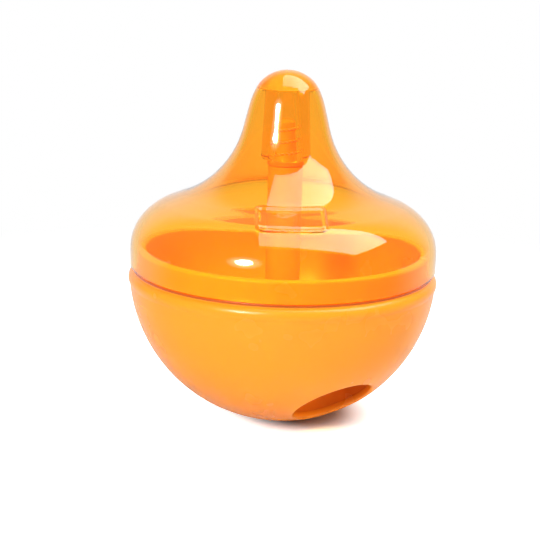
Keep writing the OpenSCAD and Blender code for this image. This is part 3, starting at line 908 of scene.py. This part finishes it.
# Studio: a pale seamless floor in a white room, a soft box overhead, and an umbrella lamp with a bright
# core in front on the left. In gloss, the room is white only behind the object, and the floor dim before it.
view_turn = math.radians(-32.6)
right = Vector((math.cos(view_turn), math.sin(view_turn), 0))
away = Vector((-math.sin(view_turn), math.cos(view_turn), 0))
up = Vector((0, 0, 1))
ball_middle = Vector((0, 0, middle))
white = (1, 1, 1, 1)
paper_deep = (0.84, 0.84, 0.84)
paper_pale = (0.87, 0.87, 0.87)
floor_half = 6.0
floor_fade = (0.1, 0.4)
floor_gloss_fade = (0.03, 0.09)
floor_gloss_turn = (-0.1, 0.1)
floor_gloss_front = 0.32
shadow_spot = 0.011 * right - 0.002 * away
shadow_fade = (0.012, 0.034)
floor_glow = 0.8
room_fill = 0.3
room_gloss_front = 0.3
room_gloss_turn = (0.5, 0.8)
box_height = 0.6
box_turn = math.radians(-8)
box_way = 0.47 * right - 0.02 * away + up
box_spot = ball_middle + box_height * box_way
box_size = (1.3 * box_height, 0.9 * box_height)
box_fade = (0.0, 0.7)
box_levels = (2.6, 5.0)
umbrella_distance = 0.8
umbrella_way = -0.431 * right - 0.761 * away + 0.485 * up
umbrella_spot = ball_middle + umbrella_distance * umbrella_way
core_gap = 0.02
core_spot = umbrella_spot + core_gap * (ball_middle - umbrella_spot).normalized()
face_middle = (0.5, 0.5, 0)
face_rim = 0.5
lamp_power = 4


def sees_room(tree):
    """1 for the rays that show the room itself: the camera's, and those through clear pieces."""
    path = put(tree, "ShaderNodeLightPath").outputs
    return calc(tree, "MAXIMUM", path["Is Camera Ray"], path["Is Transmission Ray"])


def in_gloss(tree):
    """1 for the rays that show what a glossy skin reflects."""
    return put(tree, "ShaderNodeLightPath").outputs["Is Glossy Ray"]


def between(tree, share, first, second):
    """A number between two numbers."""
    return put(tree, "ShaderNodeMix", {0: share, 2: first, 3: second}).outputs[0]


def floor_paper(name):
    """Pale paper that fades into the white room further out. Near the object it glows for the camera alone,
    apart from the soft shadow under the object."""
    material, tree, place = new_finish(name)
    shade = mixed(tree, noise(tree, place, scale=30, low=0, high=1), paper_deep, paper_pale)
    paper = put(tree, "ShaderNodeBsdfDiffuse", {"Color": shade}).outputs[0]
    far = vector_calc(tree, "LENGTH", place)
    past_ball = vector_calc(tree, "DOT_PRODUCT", place, away)
    faded = ramp(tree, far, *floor_fade, smooth=True)
    gloss_faded = ramp(tree, far, *floor_gloss_fade, smooth=True)
    gloss_level = ramp(tree, past_ball, *floor_gloss_turn, floor_gloss_front, 1.0, smooth=True)
    room_level = between(tree, sees_room(tree), gloss_level, 1.0)
    room_white = put(tree, "ShaderNodeEmission", {"Color": white, "Strength": room_level}).outputs[0]
    room_share = calc(tree, "MAXIMUM", calc(tree, "MULTIPLY", faded, sees_room(tree)),
                      calc(tree, "MULTIPLY", gloss_faded, in_gloss(tree)))
    sweep = put(tree, "ShaderNodeMixShader", {0: room_share, 1: paper, 2: room_white}).outputs[0]
    from_shadow = vector_calc(tree, "DISTANCE", place, shadow_spot)
    out_of_shadow = ramp(tree, from_shadow, *shadow_fade, 0, floor_glow, smooth=True)
    near = calc(tree, "SUBTRACT", 1, faded)
    seen = put(tree, "ShaderNodeLightPath").outputs["Is Camera Ray"]
    glow_level = calc(tree, "MULTIPLY", seen, calc(tree, "MULTIPLY", near, out_of_shadow))
    glow = put(tree, "ShaderNodeEmission", {"Color": white, "Strength": glow_level}).outputs[0]
    whole = put(tree, "ShaderNodeAddShader", {0: sweep, 1: glow}).outputs[0]
    put(tree, "ShaderNodeOutputMaterial", {"Surface": whole})
    material.cycles.emission_sampling = "NONE"
    return material


floor_mesh = bpy.data.meshes.new("floor")
floor_corners = [(-floor_half, -floor_half, 0), (floor_half, -floor_half, 0), (floor_half, floor_half, 0),
                 (-floor_half, floor_half, 0)]
floor_mesh.from_pydata(floor_corners, [], [(0, 1, 2, 3)])
floor_mesh.materials.append(floor_paper("floor_pale"))
floor = bpy.data.objects.new("floor", floor_mesh)
bpy.context.scene.collection.objects.link(floor)

world = bpy.data.worlds.new("white_room")
bpy.context.scene.world = world
world.use_nodes = True
room = world.node_tree
room.nodes.clear()
heading = put(room, "ShaderNodeTexCoord").outputs["Generated"]
behind = vector_calc(room, "DOT_PRODUCT", heading, away)
room_gloss = ramp(room, behind, *room_gloss_turn, room_gloss_front, 1.0, smooth=True)
room_light = between(room, in_gloss(room), room_fill, room_gloss)
room_level = between(room, sees_room(room), room_light, 1.0)
backdrop = put(room, "ShaderNodeBackground", {"Color": white, "Strength": room_level}).outputs[0]
put(room, "ShaderNodeOutputWorld", {"Surface": backdrop})


def soft_lamp(name, shape, size, place):
    """A soft area lamp at a place, with power for its area, so that its Emission strength is its brightness.
    Returns its tree and the coordinates over its face, each from 0 to 1."""
    lamp = bpy.data.lights.new(name, "AREA")
    lamp.shape = shape
    lamp.size, lamp.size_y = size
    lamp.energy = lamp_power * size[0] * size[1] * (math.pi / 4 if shape == "DISK" else 1)
    lamp.use_nodes = True
    holder = bpy.data.objects.new(name, lamp)
    bpy.context.scene.collection.objects.link(holder)
    holder.matrix_world = place
    return lamp.node_tree, put(lamp.node_tree, "ShaderNodeNewGeometry").outputs["Parametric"]


def light_up(tree, level):
    """Sets the brightness of a lamp over its face."""
    tree.links.new(level, tree.nodes["Emission"].inputs["Strength"])


def umbrella_disk(name, spot, width, brightness, full):
    """A round lamp that faces the ball, fully bright round its middle and dimming to nothing at its rim."""
    aim = (ball_middle - spot).to_track_quat("-Z", "Y").to_matrix().to_4x4()
    disk, disk_face = soft_lamp(name, "DISK", (width, width), Matrix.Translation(spot) @ aim)
    from_middle = vector_calc(disk, "DISTANCE", disk_face, face_middle)
    light_up(disk, ramp(disk, from_middle, full, face_rim, brightness, 0, smooth=True))


box_place = Matrix.Translation(box_spot) @ Matrix.Rotation(view_turn + box_turn, 4, "Z")
box, box_face = soft_lamp("overhead_box", "RECTANGLE", box_size, box_place)
across_box = put(box, "ShaderNodeSeparateXYZ", {0: box_face}).outputs["X"]
light_up(box, ramp(box, across_box, *box_fade, *box_levels, smooth=True))
umbrella_disk("umbrella", umbrella_spot, width=0.4, brightness=3.4, full=0.2)
umbrella_disk("umbrella_core", core_spot, width=0.17, brightness=50.0, full=0.42)

# Camera: a long lens a little above the rim, turned towards the side of the outlet and tilted slightly. It
# stands about half a metre from the ball.
view_rise = math.radians(14)
view_distance = 0.4703
view_roll = math.radians(1.5)
lens = 73.3
sensor_width = 36
aim_aside = -5.34 * MM
aim_up = -1.24 * MM
towards = math.cos(view_rise) * -away + math.sin(view_rise) * up
view_up = towards.cross(right)
camera_spot = ball_middle + view_distance * towards + aim_aside * right + aim_up * view_up
view_axes = Matrix((right, view_up, towards)).transposed().to_4x4()
camera = bpy.data.objects.new("camera", bpy.data.cameras.new("camera"))
bpy.context.scene.collection.objects.link(camera)
camera.data.sensor_width = sensor_width
camera.data.lens = lens
camera.matrix_world = Matrix.Translation(camera_spot) @ view_axes @ Matrix.Rotation(view_roll, 4, "Z")
bpy.context.scene.camera = camera
bpy.context.scene.view_settings.view_transform = "Standard"
